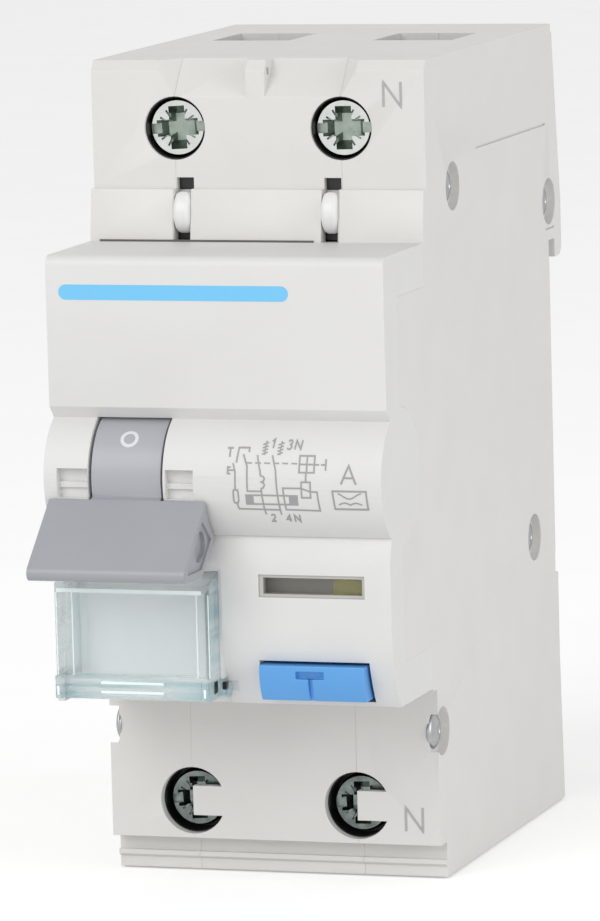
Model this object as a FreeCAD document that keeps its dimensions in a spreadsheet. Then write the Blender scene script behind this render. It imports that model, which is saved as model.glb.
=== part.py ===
"""Residual current device, two modules wide, for a 35 mm mounting rail.

Row frame: origin at the centre of the rail seat, +X to the right seen from the front, +Y from the
front towards the rail, +Z up. All sizes are in millimetres.
"""
import FreeCAD, Part
import Sketcher
import math
import os
from types import SimpleNamespace

doc = FreeCAD.newDocument("residual_current_device")
VECTOR = FreeCAD.Vector

# ---------------------------------------------------------------- driving dimensions
# Depths are measured forwards from the rail seat, heights from the rail's centre line.
DIMENSIONS = {
    # housing
    "module_pitch": 17.8,
    "wall": 1.4,
    "seam_offset": 8.9,
    "top_height": 41.0,
    "bottom_height": 43.4,
    "shoulder_depth": 45.7,
    "low_shoulder_depth": 45.9,
    "band_top": 27.9,
    "band_low": 22.9,
    "band_depth": 46.7,
    "wing_depth": 47.4,
    "top_chamfer": 1.1,
    "top_chamfer_depth": 0.8,
    "foot_rise": 3.65,
    "foot_step": 2.2,
    "lip_rise": 1.9,
    "lip_step": 0.5,
    "rib_high": 23.6,
    "rib_low": 24.0,
    "back_low_depth": 1.8,
    "back_mid_depth": 0.9,
    "back_mid_height": 27.4,
    "lug_depth": 4.9,
    "lug_gap": 2.2,
    "lug_low": 15.8,
    "notch_height": 17.8,
    "rail_low": 18.4,
    "seat_relief": 0.15,
    "lug_bend": 21.9,
    "lug_taper": 3.8,
    "lug_taper_height": 30.1,
    "back_top_depth": 2.6,
    "back_step": 0.9,
    "lug_round": 1.3,
    # sloped pocket in the top front edge, between the two seams
    "pocket_height": 3.8,
    "pocket_depth": 3.2,
    "pocket_flare": 2.4,
    "rib_left": 1.2,
    "rib_right": 0.85,
    # front cover
    "nose_depth": 61.4,
    "nose_top": 22.6,
    "nose_low": 23.1,
    "nose_corner": 1.0,
    "seam_depth": 56.7,
    "flange_top": 18.2,
    "flange_low": 18.7,
    "barrel_depth": 57.0,
    "barrel_radius": 6.8,
    "disc_radius": 7.1,
    "disc_seam_height": 7.0937,
    "bevel_height": 7.3,
    "bevel_end": 1.27,
    "groove_height": 5.6,
    "groove_depth": 60.5,
    "slope_height": 7.9,
    "curve_height": 14.4,
    "chin_depth": 58.5,
    "chin_radius": 15.0,
    # handle
    "handle_left": 12.8,
    "handle_right": 5.45,
    "side_gap": 0.3,
    "drum_radius": 6.5,
    "grip_left": 17.2,
    "grip_right": 0.6,
    "grip_root": 7.15,
    "grip_round": 0.81,
    "pin_radius": 1.0,
    "running_gap": 0.05,
    # terminals
    "screw_from_top": 6.95,
    "screw_from_bottom": 7.6,
    "upper_hole": 3.25,
    "lower_hole": 3.5,
    "head_radius": 2.95,
    "head_length": 2.2,
    "screw_radius": 2.0,
    "upper_head_sink": 1.0,
    "lower_head_sink": 1.8,
    "bar_front": 23.6,
    "bar_thick": 1.4,
    "cage_half": 4.4,
    "cage_wall": 1.2,
    "cage_height": 7.0,
    "cage_travel": 8.4,
    "wire_half": 4.3,
    "wire_front": 20.0,
    "wire_back": 10.0,
    # rivets
    "shank_radius": 1.3,
    "rivet_head": 1.9,
    "rivet_sink": 2.5,
    "sink_depth": 1.04,
    "rivet_proud": 0.6,
}

sheet = doc.addObject("Spreadsheet::Sheet", "dims")
for row, (alias, number) in enumerate(DIMENSIONS.items(), start=1):
    sheet.set(f"A{row}", alias)
    sheet.set(f"B{row}", str(number))
    sheet.setAlias(f"B{row}", alias)
doc.recompute()


class Size:
    """A length that carries its value and the spreadsheet expression it comes from."""

    def __init__(self, value, text):
        self.value = value
        self.text = text

    def __add__(self, other):
        other = as_size(other)
        return Size(self.value + other.value, f"({self.text} + {other.text})")

    def __sub__(self, other):
        other = as_size(other)
        return Size(self.value - other.value, f"({self.text} - {other.text})")

    def __mul__(self, other):
        other = as_size(other)
        return Size(self.value * other.value, f"({self.text} * {other.text})")

    def __truediv__(self, other):
        other = as_size(other)
        return Size(self.value / other.value, f"({self.text} / {other.text})")

    def __neg__(self):
        return self * -1

    def __radd__(self, other):
        return as_size(other) + self

    def __rsub__(self, other):
        return as_size(other) - self

    __rmul__ = __mul__


def as_size(number):
    return number if isinstance(number, Size) else Size(float(number), f"({float(number)})")


d = SimpleNamespace(**{alias: Size(number, f"dims.{alias}") for alias, number in DIMENSIONS.items()})
d.foot_height = d.bottom_height - d.foot_rise
d.foot_depth = d.low_shoulder_depth - d.foot_step
d.lip_height = d.bottom_height - d.lip_rise
d.lip_depth = d.foot_depth + d.lip_step
d.upper_screw = d.top_height - d.screw_from_top
d.lower_screw = d.bottom_height - d.screw_from_bottom
d.upper_head_depth = d.shoulder_depth - d.upper_head_sink
d.lower_head_depth = d.low_shoulder_depth - d.lower_head_sink


# ---------------------------------------------------------------- drawing tools
def new_body(name):
    body = doc.addObject("PartDesign::Body", name)
    body.Label = name
    return body


def new_sketch(body, plane, start):
    """An empty sketch on one of the body's own planes, lifted to start along the plane's normal."""
    sketch = body.newObject("Sketcher::SketchObject", f"{body.Name}_sketch")
    support = next(item for item in body.Origin.OriginFeatures if item.Role == plane)
    sketch.AttachmentSupport = [(support, "")]
    sketch.MapMode = "FlatFace"
    sketch.setExpression("AttachmentOffset.Base.z", as_size(start).text)
    return sketch


def fix_point(sketch, curve, end, point):
    for kind, size in zip(("DistanceX", "DistanceY"), point):
        index = sketch.addConstraint(Sketcher.Constraint(kind, -1, 1, curve, end, size.value))
        sketch.setExpression(f"Constraints[{index}]", size.text)


def arc_between(first, last, radius, turn):
    """The short arc from first to last: turn is 1 for anticlockwise and -1 for clockwise."""
    chord = last - first
    rise = math.sqrt(max(radius * radius - chord.Length * chord.Length / 4, 0.0))
    left = VECTOR(-chord.y, chord.x, 0).normalize()
    centre = (first + last) / 2 + left * rise * turn
    ends = (first, last) if turn > 0 else (last, first)
    angles = [math.atan2(end.y - centre.y, end.x - centre.x) for end in ends]
    if angles[1] < angles[0]:
        angles[1] += 2 * math.pi
    return Part.ArcOfCircle(Part.Circle(centre, VECTOR(0, 0, 1), radius), angles[0], angles[1])


def add_outline(sketch, corners):
    """A closed outline. A corner is (u, v), or (u, v, radius, turn) where an arc leads to the next."""
    corners = [(as_size(c[0]), as_size(c[1])) + tuple(c[2:]) for c in corners]
    points = [VECTOR(c[0].value, c[1].value, 0) for c in corners]
    ends = []
    for index, corner in enumerate(corners):
        first = points[index]
        last = points[(index + 1) % len(points)]
        if len(corner) == 2:
            curve = sketch.addGeometry(Part.LineSegment(first, last), False)
            ends.append((curve, 1, 2))
            continue
        radius = as_size(corner[2])
        curve = sketch.addGeometry(arc_between(first, last, radius.value, corner[3]), False)
        limit = sketch.addConstraint(Sketcher.Constraint("Radius", curve, radius.value))
        sketch.setExpression(f"Constraints[{limit}]", radius.text)
        ends.append((curve, 1, 2) if corner[3] > 0 else (curve, 2, 1))
    for index, (curve, start, stop) in enumerate(ends):
        after = ends[(index + 1) % len(ends)]
        sketch.addConstraint(Sketcher.Constraint("Coincident", curve, stop, after[0], after[1]))
        fix_point(sketch, curve, start, corners[index][:2])


def add_circle(sketch, centre, radius):
    centre = [as_size(part) for part in centre]
    radius = as_size(radius)
    middle = VECTOR(centre[0].value, centre[1].value, 0)
    curve = sketch.addGeometry(Part.Circle(middle, VECTOR(0, 0, 1), radius.value), False)
    fix_point(sketch, curve, 3, centre)
    limit = sketch.addConstraint(Sketcher.Constraint("Radius", curve, radius.value))
    sketch.setExpression(f"Constraints[{limit}]", radius.text)


def rectangle(low, high):
    return [(low[0], low[1]), (high[0], low[1]), (high[0], high[1]), (low[0], high[1])]


def polygon(centre, radius, sides):
    """Corners of an upright regular outline round a centre."""
    corners = []
    for place in range(sides):
        angle = 2 * math.pi * (place + 0.5) / sides
        corners.append((centre[0] + radius * math.cos(angle), centre[1] + radius * math.sin(angle)))
    return corners


def extrude(body, kind, sketch, length, reverse=False):
    """Pad or pocket a sketch, and check that the body's volume went the right way."""
    before = 0.0 if body.Tip is None else body.Shape.Volume
    feature = body.newObject(f"PartDesign::{kind}", f"{body.Name}_{kind.lower()}")
    feature.Profile = (sketch, [""])
    feature.setExpression("Length", as_size(length).text)
    feature.Reversed = reverse
    doc.recompute()
    grown = body.Shape.Volume - before
    if (grown < 1e-6) if kind == "Pad" else (grown > -1e-6):
        raise RuntimeError(f"{feature.Name} changed nothing: {grown}")
    return feature


def draw(body, plane, start, outlines, circles):
    sketch = new_sketch(body, plane, start)
    for corners in outlines:
        add_outline(sketch, corners)
    for centre, radius in circles:
        add_circle(sketch, centre, radius)
    doc.recompute()
    return sketch


def side_pad(body, left, right, *outlines, circles=()):
    """Material between two X positions. Outlines and circles hold (Y, Z)."""
    return extrude(body, "Pad", draw(body, "YZ_Plane", left, outlines, circles), right - as_size(left))


def side_cut(body, left, right, *outlines, circles=()):
    sketch = draw(body, "YZ_Plane", left, outlines, circles)
    return extrude(body, "Pocket", sketch, right - as_size(left), reverse=True)


def front_pad(body, front, back, *outlines, circles=()):
    """Material between two depths in front of the seat. Outlines and circles hold (X, Z)."""
    return extrude(body, "Pad", draw(body, "XZ_Plane", back, outlines, circles), front - as_size(back))


def front_cut(body, front, back, *outlines, circles=()):
    sketch = draw(body, "XZ_Plane", front, outlines, circles)
    return extrude(body, "Pocket", sketch, front - as_size(back))


def level_pad(body, low, high, *outlines, circles=()):
    """Material between two heights. Outlines and circles hold (X, Y)."""
    return extrude(body, "Pad", draw(body, "XY_Plane", low, outlines, circles), high - as_size(low))


def level_cut(body, low, high, *outlines, circles=()):
    sketch = draw(body, "XY_Plane", low, outlines, circles)
    return extrude(body, "Pocket", sketch, high - as_size(low), reverse=True)


# ---------------------------------------------------------------- housing
half_width = d.module_pitch
FRONT_CLEAR = 75.0
SEAT_HALF = 3.8
SEAT_THICK = 1.0
PARTING_DEEP = 0.25
PARTING_WIDE = 0.22
ROOM_BACKS = {"upper": 1.0, "mechanism": -1.6, "lower": -4.5}
BACK_CLEAR = 8.0
POLES = {"line": -1, "neutral": 1}
LEVELS = {"upper": 1, "lower": -1}
ARM_PIVOT = (-26.8, 3.0)
FLAP_PIVOT = (-60.2, -21.4)
SHANK_SIDES = 6
RING_SIDES = 16
RIVETS = {
    "rivet_upper_front": (-d.shoulder_depth + 9.5, d.top_height - 13.7),
    "rivet_upper_rear": (0.2, d.lug_bend + 0.1),
    "rivet_lower_front": (-d.low_shoulder_depth + 1.6, -d.nose_low - 4.9),
    "rivet_lower_rear": (-8.2, -13.3),
}


def housing_outline():
    """Side view of the housing behind the front cover, clockwise from its top front corner."""
    seat_top = d.lug_low - 0.2
    seat_low = d.rail_low - 2.2
    return [
        (-d.shoulder_depth + d.top_chamfer_depth, d.top_height),
        (-d.shoulder_depth, d.top_height - d.top_chamfer),
        (-d.shoulder_depth, d.band_top),
        (-d.band_depth, d.band_top),
        (-d.wing_depth, d.band_low),
        (-d.wing_depth, d.flange_top),
        (-d.seam_depth, d.flange_top),
        (-d.seam_depth, d.disc_seam_height, d.disc_radius, -1),
        (-d.barrel_depth + d.disc_radius, 0, d.disc_radius, -1),
        (-d.seam_depth, -d.disc_seam_height),
        (-d.seam_depth, -d.flange_low),
        (-d.wing_depth, -d.flange_low),
        (-d.wing_depth, -d.nose_low - 0.3),
        (-d.low_shoulder_depth, -d.nose_low - 0.3),
        (-d.low_shoulder_depth, -d.foot_height),
        (-d.foot_depth, -d.foot_height),
        (-d.foot_depth, -d.lip_height),
        (-d.lip_depth, -d.lip_height),
        (-d.lip_depth, -d.lip_height - 0.5),
        (-d.foot_depth, -d.lip_height - 0.8),
        (-d.foot_depth, -d.bottom_height),
        (d.back_low_depth, -d.bottom_height),
        (d.back_mid_depth, -d.back_mid_height),
        (d.back_mid_depth, -d.rail_low),
        (-d.seat_relief, -d.rail_low),
        (-d.seat_relief, -seat_low),
        (0, -seat_low),
        (0, seat_top),
        (-d.seat_relief, seat_top),
        (-d.seat_relief, d.notch_height),
        (d.lug_gap, d.notch_height),
        (d.lug_gap, d.lug_low),
        (d.lug_depth - d.lug_round, d.lug_low, d.lug_round, 1),
        (d.lug_depth, d.lug_low + d.lug_round),
        (d.lug_depth, d.lug_bend),
        (d.lug_taper, d.lug_taper_height),
        (d.back_top_depth, d.top_height - d.back_step),
        (d.back_top_depth - 0.4, d.top_height - d.back_step),
        (d.back_top_depth - 0.4, d.top_height),
    ]


def room_outlines():
    """The three rooms inside: upper terminal, mechanism (open to the front cover), lower terminal."""
    inner_top = d.flange_top - d.wall
    inner_low = d.flange_low - d.wall
    front = -d.shoulder_depth + d.wall
    ceiling = d.top_height - d.wall
    upper = [
        (front, d.rib_high + d.wall),
        (ROOM_BACKS["upper"], d.rib_high + d.wall),
        (ROOM_BACKS["upper"], ceiling),
        (front + d.pocket_depth - 1.0, ceiling),
        (front, ceiling - d.pocket_height + 1.2),
    ]
    low_front = -d.foot_depth + d.wall
    floor = -d.bottom_height + d.wall
    lower = rectangle((low_front, floor), (ROOM_BACKS["lower"], -d.rib_low - d.wall))
    mechanism = [
        (ROOM_BACKS["mechanism"], d.rib_high),
        (-d.shoulder_depth, d.rib_high),
        (-d.shoulder_depth, inner_top),
        (-d.nose_depth, inner_top),
        (-d.nose_depth, -inner_low),
        (-d.shoulder_depth + d.wall, -inner_low),
        (-d.shoulder_depth + d.wall, -d.rib_low),
        (ROOM_BACKS["lower"], -d.rib_low),
        (ROOM_BACKS["lower"], -d.rail_low + 2.4),
        (ROOM_BACKS["mechanism"], -d.rail_low + 2.4),
    ]
    return [upper, mechanism, lower]


def bars_slots(body, x_low, x_high):
    """Slots in the two ribs between the rooms, for the terminal bars."""
    for rib in (d.rib_high, -d.rib_low - d.wall):
        low, high = rib - 0.1, rib + d.wall + 0.1
        corners = rectangle((x_low, -d.bar_front), (x_high, -d.bar_front + d.bar_thick))
        level_cut(body, low, high, corners)


def screw_seats(body, low, high):
    """Blocks behind the front wall that carry the heads of the terminal screws."""
    screws = (
        (d.shoulder_depth, d.upper_head_depth, d.upper_screw),
        (d.low_shoulder_depth, d.lower_head_depth, -d.lower_screw),
    )
    for shoulder, head, height in screws:
        block = rectangle((low, height - SEAT_HALF), (high, height + SEAT_HALF))
        front_pad(body, shoulder - d.wall / 2, head - d.head_length - SEAT_THICK, block)


def terminal_openings(body, centre):
    """Screwdriver holes in the front and wire entries in the top and the bottom."""
    holes = (
        (d.upper_head_depth, d.upper_screw, d.upper_hole),
        (d.lower_head_depth, -d.lower_screw, d.lower_hole),
    )
    for depth, height, radius in holes:
        seat = depth - d.head_length
        front_cut(body, FRONT_CLEAR, seat, circles=[((centre, height), radius)])
        shank = d.screw_radius + d.running_gap
        front_cut(body, seat, seat - SEAT_THICK, circles=[((centre, height), shank)])
    entry = rectangle((centre - d.wire_half, -d.wire_front), (centre + d.wire_half, -d.wire_back))
    level_cut(body, d.top_height - 2, d.top_height + 1, entry)
    level_cut(body, -d.bottom_height - 1, -d.bottom_height + 2, entry)


def add_guide_tab(body, centre):
    """Flush tab that covers the right half of a lower screw hole."""
    low = -d.lower_screw - 1.55
    tab = rectangle((centre, low), (centre + d.lower_hole, low + 3.1))
    front_pad(body, d.low_shoulder_depth, d.low_shoulder_depth - 1.0, tab)


def flare_pocket(body, side):
    """Cut the shell's top front corner at the seam down to the sloped pocket of the middle."""
    sketches = []
    for rise in (0, d.pocket_height + 1):
        share = as_size(rise) / d.pocket_height
        reach = d.pocket_flare * share + d.pocket_flare / d.pocket_depth
        back = d.pocket_depth * share + d.pocket_depth / d.pocket_flare
        front = -d.shoulder_depth - 1
        corners = [
            (side * (d.seam_offset - 1), front),
            (side * (d.seam_offset + reach), front),
            (side * (d.seam_offset - 1), back - d.shoulder_depth),
        ]
        level = d.top_height - d.pocket_height + rise
        sketches.append(draw(body, "XY_Plane", level, [corners], []))
    loft = body.newObject("PartDesign::SubtractiveLoft", f"{body.Name}_flare")
    loft.Profile = (sketches[0], [""])
    loft.Sections = [(sketches[1], [""])]
    loft.Ruled = True
    doc.recompute()


def make_shell(name, side):
    """One outer shell: side is -1 for the left and 1 for the right."""
    body = new_body(name)
    outer = side * half_width
    inner = side * d.seam_offset
    left, right = (outer, inner) if side < 0 else (inner, outer)
    side_pad(body, left, right, housing_outline())
    room_left, room_right = (outer + d.wall, inner) if side < 0 else (inner, outer - d.wall)
    side_cut(body, room_left, room_right, *room_outlines())
    seats = (inner - SEAT_HALF, inner) if side < 0 else (inner, inner + SEAT_HALF)
    screw_seats(body, *seats)
    terminal_openings(body, inner)
    if side > 0:
        add_guide_tab(body, inner)
    slot = (inner - 3.4, inner) if side < 0 else (inner, inner + 3.4)
    bars_slots(body, *slot)
    shanks = [polygon(centre, d.shank_radius, SHANK_SIDES) for centre in RIVETS.values()]
    side_cut(body, left, right, *shanks)
    sink = (outer, outer + d.sink_depth) if side < 0 else (outer - d.sink_depth, outer)
    side_cut(body, *sink, circles=[(centre, d.rivet_sink) for centre in RIVETS.values()])
    pivot = (outer + 0.6, outer + d.wall) if side < 0 else (outer - d.wall, outer - 0.6)
    side_cut(body, *pivot, circles=[(ARM_PIVOT, d.pin_radius)])
    flare_pocket(body, side)
    # fine parting lines on the outer face: one over the rear rivet and one beside the rail lug
    line = (outer, outer + PARTING_DEEP) if side < 0 else (outer - PARTING_DEEP, outer)
    parting = d.lug_taper_height + 0.2
    side_cut(body, *line, rectangle((-27.4, parting), (-0.6, parting + PARTING_WIDE)))
    catch = d.notch_height + 1.2
    side_cut(body, *line, rectangle((-1.2, catch), (d.lug_gap, catch + PARTING_WIDE)))
    return body


def make_middle_housing():
    """The middle housing, with the partition between the two poles."""
    body = new_body("middle_housing")
    side_pad(body, -d.seam_offset, d.seam_offset, housing_outline())
    web = d.wall / 2
    for low, high in ((-d.seam_offset, -web), (web, d.seam_offset)):
        side_cut(body, low, high, *room_outlines())
    for side in POLES.values():
        edges = sorted((side * (d.seam_offset - SEAT_HALF), side * d.seam_offset), key=lambda size: size.value)
        screw_seats(body, *edges)
        terminal_openings(body, side * d.seam_offset)
        inner = side * (d.seam_offset - 3.4)
        edges = sorted((inner, side * d.seam_offset), key=lambda size: size.value)
        bars_slots(body, *edges)
    shanks = [polygon(centre, d.shank_radius, SHANK_SIDES) for centre in RIVETS.values()]
    side_cut(body, -d.seam_offset, d.seam_offset, *shanks, circles=[(ARM_PIVOT, d.pin_radius)])
    add_guide_tab(body, -d.seam_offset)
    # sloped pocket in the top front edge, on both sides of a flush rib with a hole for a seal wire
    slope = [
        (-d.shoulder_depth - 1, d.top_height - d.pocket_height),
        (-d.shoulder_depth, d.top_height - d.pocket_height),
        (-d.shoulder_depth + d.pocket_depth, d.top_height),
        (-d.shoulder_depth + d.pocket_depth, d.top_height + 1),
        (-d.shoulder_depth - 1, d.top_height + 1),
    ]
    side_cut(body, -d.seam_offset, -d.rib_left, slope)
    side_cut(body, d.rib_right, d.seam_offset, slope)
    seal = polygon((-d.shoulder_depth + 1.3, d.top_height - 1.2), 0.5, 4)
    side_cut(body, -d.rib_left - 0.2, d.rib_right + 0.2, seal)
    # channel of the rail clip, open to the back and the bottom
    channel = rectangle((-4.8, -3.0), (4.8, BACK_CLEAR))
    level_cut(body, -d.bottom_height - 1, -18.1, channel)
    post = -d.bottom_height + 5.8
    side_pad(body, -1.0, 1.0, rectangle((-3.0, post), (0.4, post + 0.8)))
    # slots of the two white inserts in the band
    for side in POLES.values():
        edges = sorted((side * 7.0, side * (d.seam_offset - 0.1)), key=lambda size: as_size(size).value)
        inner = d.shoulder_depth - d.wall - 0.5
        insert_low, insert_high = d.band_low + 0.4, d.band_top - 0.2
        front_cut(body, FRONT_CLEAR, 44.8, rectangle((edges[0], insert_low), (edges[1], insert_high)))
        gaps = ((22.5, insert_low), (insert_high, d.band_top + 1.1))
        outlines = [rectangle((edges[0], low), (edges[1], high)) for low, high in gaps]
        front_cut(body, FRONT_CLEAR, inner, *outlines)
    return body


def cover_outline():
    """Side view of the front cover: nose, barrel round the handle's axis, chin and rear flanges."""
    bevel = d.bevel_height - d.bevel_end
    return [
        (-d.wing_depth, d.nose_top),
        (-d.nose_depth + d.nose_corner, d.nose_top, d.nose_corner, 1),
        (-d.nose_depth, d.nose_top - d.nose_corner),
        (-d.nose_depth, d.bevel_height),
        (-d.nose_depth + d.bevel_end, bevel, d.barrel_radius, 1),
        (-d.barrel_depth - 3.86, -d.groove_height),
        (-d.groove_depth, -d.groove_height),
        (-d.nose_depth, -d.slope_height),
        (-d.nose_depth, -d.curve_height, d.chin_radius, 1),
        (-d.chin_depth, -d.nose_low),
        (-d.wing_depth, -d.nose_low),
        (-d.wing_depth, -d.flange_low),
        (-d.seam_depth, -d.flange_low),
        (-d.seam_depth, -d.disc_seam_height, d.disc_radius, 1),
        (-d.barrel_depth + d.disc_radius, 0, d.disc_radius, 1),
        (-d.seam_depth, d.disc_seam_height),
        (-d.seam_depth, d.flange_top),
        (-d.wing_depth, d.flange_top),
    ]


def make_front_cover():
    body = new_body("front_cover")
    side_pad(body, -half_width, half_width, cover_outline())
    skin = 1.5
    inner_top = d.flange_top - d.wall
    inner_low = -d.flange_low + d.wall
    room = [
        (-49.0, inner_top),
        (-d.nose_depth + skin, inner_top),
        (-d.nose_depth + skin, 4.7),
        (-d.nose_depth - 0.6, 2.6),
        (-d.nose_depth - 0.6, -2.4),
        (-d.nose_depth + skin, -4.2),
        (-d.nose_depth + skin, inner_low),
        (-49.0, inner_low),
    ]
    slot_left = -d.handle_left - d.side_gap
    slot_right = -d.handle_right + d.side_gap
    side_cut(body, -half_width + d.wall, slot_left - d.wall, room)
    side_cut(body, slot_right + d.wall, half_width - d.wall, room)
    # slot of the handle's drum, with the bearing webs left on both sides of it
    side_cut(body, slot_left, slot_right, circles=[((-d.barrel_depth, 0), d.drum_radius + 0.4)])
    side_cut(body, slot_left, slot_right, rectangle((-d.barrel_depth, -8.0), (-49.0, 8.0)))
    side_cut(body, slot_left - d.wall, slot_right + d.wall, circles=[((-d.barrel_depth, 0), d.pin_radius)])
    # rectangular recesses in the barrel beside the drum
    for low, high in ((-16.4, slot_left - 0.05), (slot_right + 0.25, -1.95)):
        front_cut(body, FRONT_CLEAR, 62.6, rectangle((low, -1.7), (high, 1.3)))
        front_pad(body, 63.0, 62.5, rectangle((low, -0.7), (high, -0.1)))
    # bed of the label and its clear flap, open to the left
    front_cut(body, FRONT_CLEAR, 58.4, rectangle((-half_width - 1, -24.0), (-0.1, -9.0)))
    # window of the fault indicator
    front_cut(body, FRONT_CLEAR, 59.0, rectangle((3.9, -11.75), (15.05, -9.45)))
    # room of the test button in the lower flange
    front_cut(body, FRONT_CLEAR, 47.0, rectangle((3.6, -22.6), (15.2, -18.3)))
    # shadow gap under the band of the housing
    gap = rectangle((-half_width + 1.0, -d.wing_depth - 0.35), (6.3, -d.wing_depth))
    level_cut(body, d.nose_top - 0.5, d.nose_top + 1, gap)
    # sockets of the flap's hinge pins
    side_pad(body, -half_width, -17.05, rectangle((-61.4, -22.9), (-58.0, -19.8)))
    for low, high in ((-17.6, -17.0), (-0.2, 1.0)):
        side_cut(body, low, high, circles=[(FLAP_PIVOT, 0.85)])
    return body


# ---------------------------------------------------------------- handle
def make_handle():
    """Drum on the barrel's axis with the wide grip, drawn in the OFF position."""
    body = new_body("handle")
    axis = (-d.barrel_depth, 0)
    side_pad(body, -d.handle_left, -d.handle_right, circles=[(axis, d.drum_radius)])
    root = d.grip_root.value
    depth = d.barrel_depth.value
    high_angle = math.radians(14.4)
    low_angle = math.radians(54.6)
    high = (-depth - root * math.cos(high_angle), -root * math.sin(high_angle))
    low = (-depth - root * math.cos(low_angle), -root * math.sin(low_angle))
    grip = [
        high,
        (-71.1, -7.66, d.grip_round, 1),
        (-70.59, -9.1),
        (-65.4, -9.1),
        (low[0], low[1], d.grip_root, -1),
    ]
    side_pad(body, -d.grip_left, -d.grip_right, grip)
    web = [high, low, (-59.0, -4.0), (-60.5, -0.6)]
    side_pad(body, -d.handle_left, -d.handle_right, web)
    side_cut(body, -d.handle_left, -d.handle_right, circles=[(axis, d.pin_radius + d.running_gap)])
    end = [(-65.0, -3.6), (-70.1, -7.8), (-69.9, -8.4), (-65.6, -8.4), (-62.4, -5.8)]
    side_cut(body, -d.grip_right - 0.3, -d.grip_right, end)
    side_cut(body, -d.grip_right - 3, -d.grip_right, circles=[((-65.6, -6.3), 1.4)])
    return body


def make_rod(name, left, right, centre, radius):
    body = new_body(name)
    side_pad(body, left, right, circles=[(centre, radius)])
    return body


# ---------------------------------------------------------------- label, flap, button, indicator


def make_label_flap():
    """Clear flap hinged at its lower edge: front panel, two cheeks, a lower band and two pins."""
    body = new_body("label_flap")
    left, right = -16.9, -0.45
    panel = 1.0
    low, high = -22.05, -9.4
    back, front = -58.8, -64.1
    band_high = low + 2.3
    cheek = [
        (back, high),
        (front, high - 0.9),
        (front, low),
        (FLAP_PIVOT[0], low, 1.3, 1),
        (back, FLAP_PIVOT[1] + 0.3),
    ]
    side_pad(body, left, right, cheek)
    hollow = [
        (front + panel, low - 1),
        (back + 1, low - 1),
        (back + 1, high - panel),
        (back, high - panel),
        (front + panel, high - 0.9 - panel),
    ]
    side_cut(body, left + 0.8, right - 0.8, hollow)
    # lower band with a finger grip of two bars, and the ears that carry the hinge pins
    side_pad(body, left, right, rectangle((front - 0.25, low), (front + 1.6, band_high)))
    for rise in (0.3, 1.25):
        bar = rectangle((front - 0.5, low + rise), (front, low + rise + 0.6))
        side_pad(body, left + 4.8, right - 4.8, bar)
    for start in (left, right - 0.9):
        ear = rectangle((front - 0.5, low), (FLAP_PIVOT[0] + 1.2, band_high))
        side_pad(body, start, start + 0.9, ear)
    side_cut(body, right - 0.5, right, rectangle((front + 0.9, low + 0.5), (front + 2.5, low + 1.8)))
    side_pad(body, left - 0.6, left + 0.4, circles=[(FLAP_PIVOT, 0.8)])
    side_pad(body, right - 0.4, right + 0.7, circles=[(FLAP_PIVOT, 0.8)])
    return body


def make_block(name, low, high):
    """A plain block between two corners."""
    body = new_body(name)
    level_pad(body, low[2], high[2], rectangle(low[:2], high[:2]))
    return body


def make_test_button():
    body = new_body("test_button")
    outline = [
        (-61.9, -18.6),
        (-61.9, -20.4),
        (-60.9, -22.3),
        (-55.0, -22.3),
        (-55.0, -19.1),
        (-58.2, -19.1),
        (-58.2, -18.6),
    ]
    side_pad(body, 3.85, 14.95, outline)
    front_cut(body, FRONT_CLEAR, 61.2, rectangle((7.8, -19.9), (10.7, -19.2)))
    return body


# ---------------------------------------------------------------- terminals
def make_terminal(pole, level):
    """Screw, cage and bar of one lift terminal. The upper cages stand open, the lower ones closed."""
    centre = POLES[pole] * d.seam_offset
    height = d.upper_screw if level == "upper" else -d.lower_screw
    head = d.upper_head_depth if level == "upper" else d.lower_head_depth
    shift = 0 if level == "upper" else d.cage_travel
    screw = new_body(f"{level}_{pole}_screw")
    front_pad(screw, head, head - d.head_length, circles=[((centre, height), d.head_radius)])
    front_pad(screw, head - d.head_length, d.bar_front + 0.4, circles=[((centre, height), d.screw_radius)])
    cage = new_body(f"{level}_{pole}_cage")
    front = d.bar_front + 3.3 + shift
    back = front - 16.3
    low = height - d.cage_height / 2
    high = height + d.cage_height / 2
    ring = rectangle((centre - d.cage_half, -front), (centre + d.cage_half, -back))
    window = rectangle(
        (centre - d.cage_half + d.cage_wall, -front + 3.0),
        (centre + d.cage_half - d.cage_wall, -back - d.cage_wall),
    )
    level_pad(cage, low, high, ring)
    level_cut(cage, low, high, window)
    clearance = polygon((centre, height), d.screw_radius + d.running_gap + 0.1, 12)
    front_cut(cage, FRONT_CLEAR, front - 4.0, clearance)
    bar = new_body(f"{level}_{pole}_bar")
    reach = (19.5, d.upper_screw + 4.35) if level == "upper" else (-d.lower_screw - 4.4, -20.5)
    plate = rectangle((centre - 3.0, -d.bar_front), (centre + 3.0, -d.bar_front + d.bar_thick))
    level_pad(bar, reach[0], reach[1], plate)


# ---------------------------------------------------------------- inner pieces
def make_contact_arm(pole):
    """Moving contact on the common pin, drawn open: its own frame has the pivot at the origin."""
    centre = POLES[pole] * d.seam_offset
    body = new_body(f"{pole}_contact_arm")
    left = centre - 2.2
    right = centre + 2.2
    side_pad(body, left, right, [(-0.8, 2.4), (-0.8, -14.4), (0.8, -14.4), (0.8, 2.4)])
    side_pad(body, left, right, polygon((0, 0), 2.4, 8))
    side_cut(body, left, right, circles=[((0, 0), d.pin_radius + d.running_gap)])
    front_pad(body, 0.5, -2.0, rectangle((centre - 1.6, -14.2), (centre + 1.6, -11.0)))
    body.Placement = FreeCAD.Placement(
        VECTOR(0, ARM_PIVOT[0], ARM_PIVOT[1]), FreeCAD.Rotation(VECTOR(1, 0, 0), -25)
    )
    return body


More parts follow.
